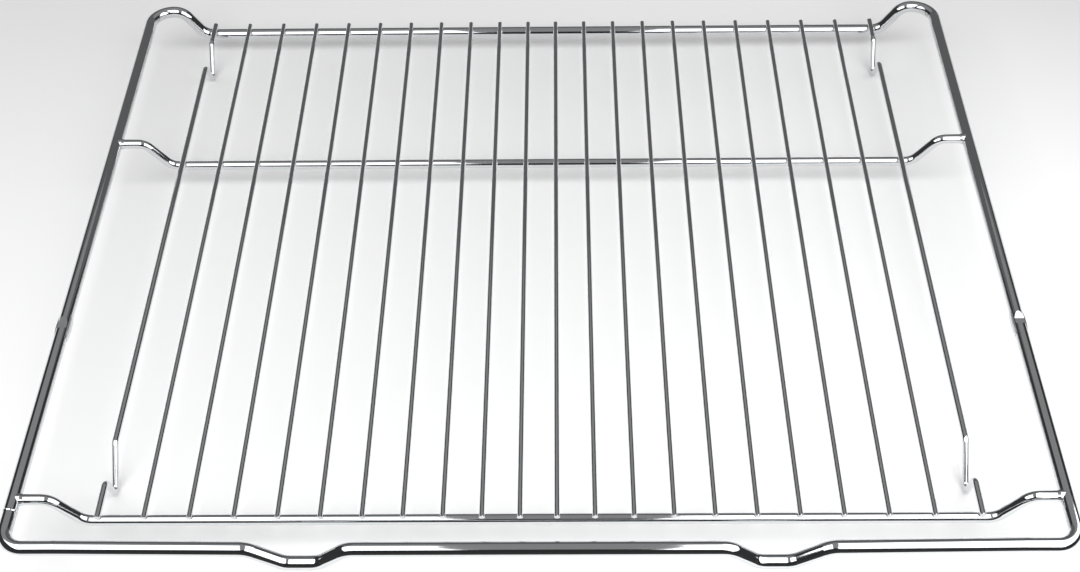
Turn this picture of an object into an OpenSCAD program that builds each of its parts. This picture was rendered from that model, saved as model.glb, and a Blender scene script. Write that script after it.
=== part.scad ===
// Wire shelf for an oven: a closed frame of thick wire, two crossbars butted
// to the inside of its side rails, twenty grid wires laid across the bars, and
// two outer wires that are bent down into feet.
// The origin is the middle of the shelf at the height that the feet stand on.
// X runs along the front rail, Y runs from the front rail to the back, Z is up.

/* [Overall] */
// Width over the two side rails
overall_w = 455; // [445:1:465]
// Depth from the front rail to the rear bar
overall_d = 375; // [360:1:390]
// Height from the feet to the top of the side rails
overall_h = 31; // [30:0.5:34]

/* [Frame wire] */
// Diameter of the frame wire
frame_wire_d = 6.3; // [5.8:0.1:6.8]
// Bend radius of the front corners, at the middle of the wire
front_corner_r = 9; // [8:0.5:12]
// Bend radius of the rear corners, at the middle of the wire
rear_corner_r = 11.5; // [9:0.5:11.5]
// How far the rear bar lies below the side rails
rear_bar_drop = 16.3; // [15.5:0.1:17]
// Distance from a side rail to the first bend of the rear bar's step
rear_shoulder = 16.5; // [16.3:0.1:17.2]
// Length across the slope of the rear bar's step
rear_step_run = 11; // [11:0.5:12.5]
// Bend radius of the rear bar's step
rear_step_r = 9; // [7:0.5:9]

/* [Front rail] */
// Distance between the middles of the two dips
dip_spacing = 199.5; // [180:0.5:220]
// Length of a dip's level floor
dip_floor_w = 14.5; // [12:0.5:18]
// Length of a dip's slope on the side of the corner
dip_outer_run = 15; // [13:0.5:20]
// Length of a dip's slope on the side of the middle
dip_inner_run = 12.5; // [12:0.5:18]
// How far a dip's floor lies below the side rails
dip_drop = 11.6; // [9:0.1:12]
// How far the rail between the dips lies below the side rails
rail_mid_drop = 1.8; // [0:0.1:2.5]
// How far the rail has sunk where the outer slopes start
rail_outer_drop = 1.3; // [0.2:0.1:2]
// Distance from a side rail to where the front rail starts to sink
rail_ease_setback = 22.5; // [20:0.5:28]
// Bend radius of the dips
dip_r = 9; // [6:0.5:10]
// Bend radius where the rail starts to sink, next to the corners
rail_ease_r = 60; // [40:5:100]

/* [Crossbars] */
// Diameter of the two crossbars
bar_d = 4.8; // [4.4:0.1:5.2]
// Distance from the front of the shelf to the front crossbar
front_bar_setback = 27.8; // [24:0.1:32]
// Distance from the front of the shelf to the middle crossbar
middle_bar_setback = 256.7; // [240:0.1:270]
// Distance from a side rail to the first bend of a crossbar's step
bar_shoulder = 15; // [13:0.5:16]
// Length across the slope of a crossbar's step
bar_step_run = 12; // [10:0.5:12.5]
// Bend radius of a crossbar's step
bar_step_r = 8; // [6:0.5:8.5]
// How far the weld at a crossbar's end stands proud of the bar
weld_flare = 0.5; // [0.2:0.1:0.6]
// Length of the weld at a crossbar's end
weld_flare_l = 1.4; // [1:0.1:2.5]

/* [Grid] */
// Diameter of a grid wire
grid_wire_d = 2.5; // [2.2:0.1:3]
// How much wider each gap is than the one before it, from the middle outwards
gap_growth = 0.41; // [0.3:0.01:0.45]
// Distance from a side rail to the outer wire beside it
side_gap = 33.3; // [33:0.1:35]
// How far the wires reach past the front crossbar's middle
front_overhang = 1.4; // [0.8:0.1:2.2]
// How far the wires reach past the rear bar's middle
rear_overhang = 3.3; // [2:0.1:3.5]
// How far the welds press the wires into the bars
weld_sink = 0.4; // [0.2:0.05:0.6]
// Bevel at the cut ends of the wires
wire_end_bevel = 0.25; // [0.1:0.05:0.4]

/* [Feet] */
// Diameter of the two outer wires that make the feet
foot_wire_d = 3; // [2.6:0.1:3.4]
// Distance from the front of the shelf to the bottom of the front feet
front_foot_setback = 52; // [48:0.5:60]
// Distance from the back of the shelf to the bottom of the rear feet
rear_foot_setback = 30; // [28:0.5:36]
// Slope of a front foot's forward leg
front_foot_front_slope = 73; // [65:1:76]
// Slope of a front foot's rearward leg
front_foot_rear_slope = 45; // [42:1:55]
// Slope of a rear foot's forward leg
rear_foot_front_slope = 60; // [55:1:65]
// Slope of a rear foot's rearward leg
rear_foot_rear_slope = 53; // [50:1:60]
// Bend radius at the bottom of the feet and where the legs start
foot_r = 3; // [2.5:0.1:3.5]

/* [Notches] */
// Distance from the front of the shelf to the middle of the notches
notch_setback = 126; // [100:1:200]
// Depth of the notch pressed in the top of each side rail
notch_depth = 0.9; // [0.5:0.1:1.2]
// Length of the notch's level floor
notch_floor_l = 3.1; // [2:0.1:4]
// Length of the notch's ramp towards the back
notch_ramp_l = 3.8; // [3:0.1:6]
// Length of the notch's steep wall towards the front
notch_wall_l = 0.7; // [0.4:0.1:1.2]
// How far the pressed metal bulges at the sides of the rail
bulge = 0.55; // [0.4:0.05:0.8]
// How much of the bulge is pushed over to the inside of the rail
bulge_inward = 0.25; // [0:0.05:0.3]
// Length of the bulge along the rail
bulge_l = 14.5; // [12:0.5:18]
// Height of the band of the rail that bulges
bulge_h = 3.8; // [3:0.1:5]

/* [Weld seam] */
// Distance from the front of the shelf to the seam that closes the frame
seam_setback = 20.9; // [18:0.1:24]
// Length of the seam along the left side rail
seam_l = 1.2; // [0.8:0.1:1.6]
// How far the seam stands proud of the wire
seam_proud = 0.18; // [0.1:0.02:0.3]

/* [Hidden] */
// Clearance between a wire and the seat that its weld makes
weld_gap = 0.02;
// Extra diameter of a bend, so that straight wire ends inside it
bend_swell = 0.02;
// Length of straight wire that ends inside a bend
bend_lap = 0.2;
// How far a cut reaches past what it cuts
cut_past = 1;
// Sides of the large circle that a bulge's outline is taken from
bulge_fn = 180;
wires_a_side = 10;
chrome = [0.78, 0.79, 0.8];
$fn = 40;

frame_r = frame_wire_d / 2;
rail_x = overall_w / 2 - frame_r;
front_y = frame_r - overall_d / 2;
rear_y = overall_d / 2 - frame_r;
rail_z = overall_h - frame_r;
rear_bar_z = rail_z - rear_bar_drop;
// The three bars are level with each other on top
seat_z = rear_bar_z + frame_r;
bar_z = seat_z - bar_d / 2;
grid_z = seat_z + grid_wire_d / 2 - weld_sink;
foot_wire_z = seat_z + foot_wire_d / 2 - weld_sink;

front_bar_y = front_bar_setback - overall_d / 2;
middle_bar_y = middle_bar_setback - overall_d / 2;
wire_front_y = front_bar_y - front_overhang;
wire_rear_y = rear_y + rear_overhang;
foot_x = rail_x - side_gap;
grown = gap_growth * wires_a_side * (wires_a_side + 1) / 2;
middle_gap = (foot_x - grown) / (wires_a_side + 0.5);

GRID_NAMES = [for (i = [1 : 2 * wires_a_side]) str("grid_wire_", i < 10 ? "0" : "", i)];

function unit(v) = v / norm(v);
function turn(a, b, c) = acos(max(-1, min(1, unit(b - a) * unit(c - b))));
// Length that a bend of radius r takes up on each side of the corner b
function bend_take(a, b, c, r) = r * tan(turn(a, b, c) / 2);
function mirrored(path) = [for (i = [len(path) - 1 : -1 : 0]) [-path[i].x, path[i].y, path[i].z]];
function reversed(list) = [for (i = [len(list) - 1 : -1 : 0]) list[i]];

// Distance from the middle to the grid wire of this number, counted outwards
function wire_offset(i) = middle_gap * (i + 0.5) + gap_growth * i * (i + 1) / 2;
// The grid wires' places from left to right
function wire_x(i) = i < wires_a_side ? -wire_offset(wires_a_side - 1 - i) : wire_offset(i - wires_a_side);

module straight_run(a, b, d) {
  v = b - a;
  translate(a)
    rotate([0, acos(v.z / norm(v)), atan2(v.y, v.x)])
      cylinder(d = d, h = norm(v));
}

// A bend of radius r that rounds the corner b on the way from a to c
module bend(a, b, c, r, d) {
  along = unit(b - a);
  onward = unit(c - b);
  inward = unit(onward - (along * onward) * along);
  axis = cross(-inward, along);
  centre = b - along * bend_take(a, b, c, r) + inward * r;
  multmatrix([
    [-inward.x, along.x, axis.x, centre.x],
    [-inward.y, along.y, axis.y, centre.y],
    [-inward.z, along.z, axis.z, centre.z],
    [0, 0, 0, 1]
  ])
    rotate_extrude(angle = turn(a, b, c))
      translate([r, 0])
        circle(d = d);
}

// Wire of diameter d along a path, with a bend of its own radius at each corner
module bent_wire(path, radii, d) {
  last = len(path) - 1;
  take = [
    for (i = [0 : last])
      i == 0 || i == last ? 0 : bend_take(path[i - 1], path[i], path[i + 1], radii[i - 1]) - bend_lap
  ];
  for (i = [0 : last - 1]) {
    along = unit(path[i + 1] - path[i]);
    straight_run(path[i] + along * take[i], path[i + 1] - along * take[i + 1], d);
  }
  for (i = [1 : last - 1])
    bend(path[i - 1], path[i], path[i + 1], radii[i - 1], d + bend_swell);
}

// What the cut ends of a wire along Y lose, at the front and at the rear
module end_bevels(x, z, d) {
  for (end = [0, 1])
    translate([x, end == 0 ? wire_front_y : wire_rear_y, z])
      rotate([end == 0 ? -90 : 90, 0, 0])
        rotate_extrude()
          polygon([
            [d / 2 - wire_end_bevel - cut_past, -cut_past],
            [d / 2 + cut_past, -cut_past],
            [d / 2 + cut_past, wire_end_bevel + cut_past]
          ]);
}

// What the wires press out of the bar at bar_y, with the weld's clearance
module wire_seats(bar_y) {
  reach = frame_r + cut_past;
  from = max(bar_y - reach, wire_front_y - weld_gap);
  to = min(bar_y + reach, wire_rear_y + weld_gap);
  for (i = [0 : 2 * wires_a_side - 1])
    translate([wire_x(i), to, grid_z])
      rotate([90, 0, 0])
        cylinder(d = grid_wire_d + 2 * weld_gap, h = to - from);
  for (side = [-1, 1])
    translate([side * foot_x, to, foot_wire_z])
      rotate([90, 0, 0])
        cylinder(d = foot_wire_d + 2 * weld_gap, h = to - from);
}

// Half of the frame's path, from the middle of the front rail to the middle of the rear bar
function frame_half() = [
  [0, front_y, rail_z - rail_mid_drop],
  [dip_spacing / 2 - dip_floor_w / 2 - dip_inner_run, front_y, rail_z - rail_mid_drop],
  [dip_spacing / 2 - dip_floor_w / 2, front_y, rail_z - dip_drop],
  [dip_spacing / 2 + dip_floor_w / 2, front_y, rail_z - dip_drop],
  [dip_spacing / 2 + dip_floor_w / 2 + dip_outer_run, front_y, rail_z - rail_outer_drop],
  [rail_x - rail_ease_setback, front_y, rail_z],
  [rail_x, front_y, rail_z],
  [rail_x, rear_y, rail_z],
  [rail_x - rear_shoulder, rear_y, rail_z],
  [rail_x - rear_shoulder - rear_step_run, rear_y, rear_bar_z],
  [0, rear_y, rear_bar_z]
];
half_radii = [
  dip_r, dip_r, dip_r, dip_r, rail_ease_r,
  front_corner_r, rear_corner_r, rear_step_r, rear_step_r
];

module notch_cut(side) {
  top = frame_r + cut_past;
  low = frame_r - notch_depth;
  half = notch_floor_l / 2;
  rise = top - low;
  translate([side * rail_x, notch_setback - overall_d / 2, rail_z])
    rotate([90, 0, 90])
      linear_extrude(height = frame_wire_d + 2 * (bulge + bulge_inward + cut_past), center = true)
        polygon([
          [-half, low],
          [half, low],
          [half + notch_ramp_l * rise / notch_depth, top],
          [-half - notch_wall_l * rise / notch_depth, top]
        ]);
}

// The metal that the notch has pushed out at both sides of the rail
module notch_bulge(side) {
  arc_r = (bulge_l * bulge_l / 4 + bulge * bulge) / (2 * bulge);
  translate([side * (rail_x - bulge_inward), notch_setback - overall_d / 2, rail_z])
    intersection() {
      rotate([90, 0, 0])
        rotate_extrude()
          intersection() {
            translate([frame_r + bulge - arc_r, 0]) circle(r = arc_r, $fn = bulge_fn);
            translate([0, -bulge_l / 2]) square([frame_wire_d, bulge_l]);
          }
      cube([frame_wire_d + 2 * (bulge + cut_past), bulge_l + 2 * cut_past, bulge_h], center = true);
    }
}

// The ring of weld where the frame wire's two ends meet
module frame_seam() {
  translate([-rail_x, seam_setback - overall_d / 2, rail_z])
    rotate([90, 0, 0])
      rotate_extrude()
        polygon([
          [0, -seam_l / 2],
          [frame_r - bend_swell, -seam_l / 2],
          [frame_r + seam_proud, 0],
          [frame_r - bend_swell, seam_l / 2],
          [0, seam_l / 2]
        ]);
}

module frame() {
  half = frame_half();
  color(chrome) difference() {
    union() {
      bent_wire(half, half_radii, frame_wire_d);
      bent_wire(mirrored(half), reversed(half_radii), frame_wire_d);
      for (side = [-1, 1]) notch_bulge(side);
      frame_seam();
    }
    for (side = [-1, 1]) notch_cut(side);
    wire_seats(rear_y);
  }
}

// A crossbar: level with the side rails at its ends, stepped down to carry the grid
module crossbar(y) {
  top_x = rail_x - bar_shoulder;
  low_x = top_x - bar_step_run;
  path = [
    [-rail_x, y, rail_z],
    [-top_x, y, rail_z],
    [-low_x, y, bar_z],
    [low_x, y, bar_z],
    [top_x, y, rail_z],
    [rail_x, y, rail_z]
  ];
  color(chrome) difference() {
    union() {
      bent_wire(path, [for (i = [0 : 3]) bar_step_r], bar_d);
      for (side = [-1, 1])
        translate([side * (rail_x - frame_r - weld_flare_l), y, rail_z])
          rotate([0, side * 90, 0])
            rotate_extrude()
              polygon([
                [0, 0],
                [bar_d / 2 - bend_swell, 0],
                [bar_d / 2 + weld_flare, weld_flare_l],
                [bar_d / 2 + weld_flare, weld_flare_l + frame_r],
                [0, weld_flare_l + frame_r]
              ]);
    }
    for (side = [-1, 1])
      translate([side * rail_x, y + bar_d, rail_z])
        rotate([90, 0, 0])
          cylinder(d = frame_wire_d + 2 * weld_gap, h = 2 * bar_d);
    wire_seats(y);
  }
}

module middle_crossbar() {
  crossbar(middle_bar_y);
}

module front_crossbar() {
  crossbar(front_bar_y);
}

// A foot's three corners, from rear to front, for legs at these slopes
function foot_corners(x, y, front_slope, rear_slope) =
  let (
    spread = sin(front_slope + rear_slope),
    corner_y = y + foot_r * (cos(front_slope) - cos(rear_slope)) / spread,
    corner_z = foot_wire_d / 2 + foot_r - foot_r * (sin(front_slope) + sin(rear_slope)) / spread,
    rise = foot_wire_z - corner_z
  ) [
    [x, corner_y + rise / tan(rear_slope), foot_wire_z],
    [x, corner_y, corner_z],
    [x, corner_y - rise / tan(front_slope), foot_wire_z]
  ];

module foot_wire(x) {
  rear_foot_y = overall_d / 2 - rear_foot_setback;
  front_foot_y = front_foot_setback - overall_d / 2;
  path = concat(
    [[x, wire_rear_y, foot_wire_z]],
    foot_corners(x, rear_foot_y, rear_foot_front_slope, rear_foot_rear_slope),
    foot_corners(x, front_foot_y, front_foot_front_slope, front_foot_rear_slope),
    [[x, wire_front_y, foot_wire_z]]
  );
  color(chrome) difference() {
    bent_wire(path, [for (i = [0 : 5]) foot_r], foot_wire_d);
    end_bevels(x, foot_wire_z, foot_wire_d);
  }
}

module left_foot_wire() {
  foot_wire(-foot_x);
}

module right_foot_wire() {
  foot_wire(foot_x);
}

module grid_wire(x) {
  color(chrome) difference() {
    straight_run([x, wire_front_y, grid_z], [x, wire_rear_y, grid_z], grid_wire_d);
    end_bevels(x, grid_z, grid_wire_d);
  }
}

frame();
middle_crossbar();
front_crossbar();
left_foot_wire();
right_foot_wire();
for (i = [0 : 2 * wires_a_side - 1])
  grid_wire(wire_x(i));
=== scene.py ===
"""Looks of a chrome-plated wire shelf for an oven, lying on a white table in a photo studio."""
import math

import bpy
from mathutils import Matrix, Vector

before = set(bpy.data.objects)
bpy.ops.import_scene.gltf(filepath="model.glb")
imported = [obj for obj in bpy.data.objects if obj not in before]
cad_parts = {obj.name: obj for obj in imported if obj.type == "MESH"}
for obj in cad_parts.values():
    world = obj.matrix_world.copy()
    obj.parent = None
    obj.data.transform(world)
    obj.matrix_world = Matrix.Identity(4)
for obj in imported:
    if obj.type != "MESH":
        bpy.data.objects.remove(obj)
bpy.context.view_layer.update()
MM = 0.001

# Camera, as worked out from the lines of the shelf
CAMERA_PLACE = Vector((9.8, -548.2, 570.7)) * MM
CAMERA_DOWN = math.radians(46.64)
CAMERA_TURN = math.radians(1.07)
CAMERA_ROLL = math.radians(-1.08)
IMAGE_WIDTH = 1080
FOCAL_PIXELS = 1552.8


def linear(hex_colour):
    """A linear RGBA colour from an sRGB hex value such as #C8CACC."""
    channels = [int(hex_colour[i:i + 2], 16) / 255 for i in (1, 3, 5)]
    return [c / 12.92 if c <= 0.04045 else ((c + 0.055) / 1.055) ** 2.4 for c in channels] + [1.0]


def add_node(tree, kind, inputs=None, **settings):
    """A node of this kind with its settings, its input values and its links."""
    node = tree.nodes.new(kind)
    for name, value in settings.items():
        setattr(node, name, value)
    for name, value in (inputs or {}).items():
        if isinstance(value, bpy.types.NodeSocket):
            tree.links.new(value, node.inputs[name])
        else:
            node.inputs[name].default_value = value
    return node


def new_material(name):
    material = bpy.data.materials.new(name)
    material.use_nodes = True
    tree = material.node_tree
    tree.nodes.clear()
    return material, tree


def shader(name, surface):
    pass


# Materials

def chrome_plate(name):
    """Bright chrome over nickel on drawn steel wire: a mirror with a faint haze."""
    material, tree = new_material(name)
    bsdf = add_node(tree, "ShaderNodeBsdfPrincipled", {
        "Base Color": linear("#DDDFE1"),
        "Metallic": 1.0,
        "Roughness": 0.06,
    })
    add_node(tree, "ShaderNodeOutputMaterial", {"Surface": bsdf.outputs["BSDF"]})
    return material


chrome = chrome_plate("chrome_plate")
for name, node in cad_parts.items():
    node.data.materials.clear()
    node.data.materials.append(chrome)


# Floor and studio

def deselect():
    bpy.ops.object.select_all(action="DESELECT")


def stage_material(name, colour, glow=0.0):
    material, tree = new_material(name)
    bsdf = add_node(tree, "ShaderNodeBsdfPrincipled", {
        "Base Color": linear(colour),
        "Roughness": 0.9,
        "Specular IOR Level": 0.0,
        "Emission Color": linear(colour),
        "Emission Strength": glow,
    })
    add_node(tree, "ShaderNodeOutputMaterial", {"Surface": bsdf.outputs["BSDF"]})
    return material


def card(name, corners, colour, glow=1.0):
    """A studio card that shows in the metal only."""
    mesh = bpy.data.meshes.new(name)
    mesh.from_pydata([Vector(c) * MM for c in corners], [], [range(len(corners))])
    obj = bpy.data.objects.new(name, mesh)
    bpy.context.scene.collection.objects.link(obj)
    mesh.materials.append(stage_material(name, colour, glow))
    obj.visible_camera = False
    obj.visible_diffuse = False
    obj.visible_shadow = False
    return obj


deselect()
bpy.ops.mesh.primitive_plane_add(size=6, location=(0, 0, 0))
floor = bpy.context.object
floor.name = "floor"
floor.data.materials.append(stage_material("white_table", "#FAFAFA"))

# Dark glowing sheet lying on the white table in front of the shelf, seen in the metal only: a painted dark
# reflection, while the table itself stays white there
PAINTED_REFLECTION_EDGE_Y = -218
card("front_painted_dark_reflection", [(-3000, PAINTED_REFLECTION_EDGE_Y, 1), (3000, PAINTED_REFLECTION_EDGE_Y, 1), (3000, -2500, 1), (-3000, -2500, 1)], "#262626")


def softbox(name, inner_x, outer_x, front_y, rear_y, inner_z, outer_z, radiance):
    """A softbox whose inner edge runs above the shelf and whose outer edge may hang lower."""
    middle = Vector(((inner_x + outer_x) / 2, (front_y + rear_y) / 2, (inner_z + outer_z) / 2)) * MM
    across = Vector((outer_x - inner_x, 0, outer_z - inner_z)) * MM
    along = abs(rear_y - front_y) * MM
    light = bpy.data.lights.new(name, "AREA")
    light.shape = "RECTANGLE"
    light.size = across.length
    light.size_y = along
    light.energy = radiance * math.pi * across.length * along
    obj = bpy.data.objects.new(name, light)
    bpy.context.scene.collection.objects.link(obj)
    x_axis = across.normalized()
    y_axis = Vector((0, 1, 0))
    z_axis = x_axis.cross(y_axis)
    if z_axis.z < 0:
        x_axis = -x_axis
        z_axis = -z_axis
    rotation = Matrix((x_axis, y_axis, z_axis)).transposed()
    obj.matrix_world = Matrix.Translation(middle) @ rotation.to_4x4()
    return obj


softbox("softbox_left", -100, -700, -1010, 40, 760, 600, 2.2)
softbox("softbox_right", 114, 560, -1010, 90, 700, 250, 2.2)

world = bpy.data.worlds.new("studio")
bpy.context.scene.world = world
world.use_nodes = True
world.node_tree.nodes.clear()
room = add_node(world.node_tree, "ShaderNodeBackground", {"Color": linear("#F2F2F2"), "Strength": 0.35})
add_node(world.node_tree, "ShaderNodeOutputWorld", {"Surface": room.outputs[0]})

# Walls and ceiling of the dark room, in the metal only
R = 2500
card("room_front", [(-R, -R, 0), (R, -R, 0), (R, -R, R), (-R, -R, R)], "#2A2A2A")
card("room_left", [(-R, -R, 0), (-R, -R, R), (-R, R, R), (-R, R, 0)], "#303030")
card("room_right", [(R, -R, 0), (R, -R, R), (R, R, R), (R, R, 0)], "#303030")
card("room_back", [(-R, R, 0), (R, R, 0), (R, R, R), (-R, R, R)], "#585858")
card("room_top", [(-R, -R, R), (R, -R, R), (R, R, R), (-R, R, R)], "#7C7C7C")

camera = bpy.data.objects.new("camera", bpy.data.cameras.new("camera"))
bpy.context.scene.collection.objects.link(camera)
camera.data.sensor_width = 36
camera.data.lens = FOCAL_PIXELS / IMAGE_WIDTH * camera.data.sensor_width
camera.matrix_world = (
    Matrix.Translation(CAMERA_PLACE)
    @ Matrix.Rotation(CAMERA_TURN, 4, "Z")
    @ Matrix.Rotation(math.pi / 2 - CAMERA_DOWN, 4, "X")
    @ Matrix.Rotation(CAMERA_ROLL, 4, "Z")
)
bpy.context.scene.camera = camera

bpy.context.scene.view_settings.view_transform = "Standard"
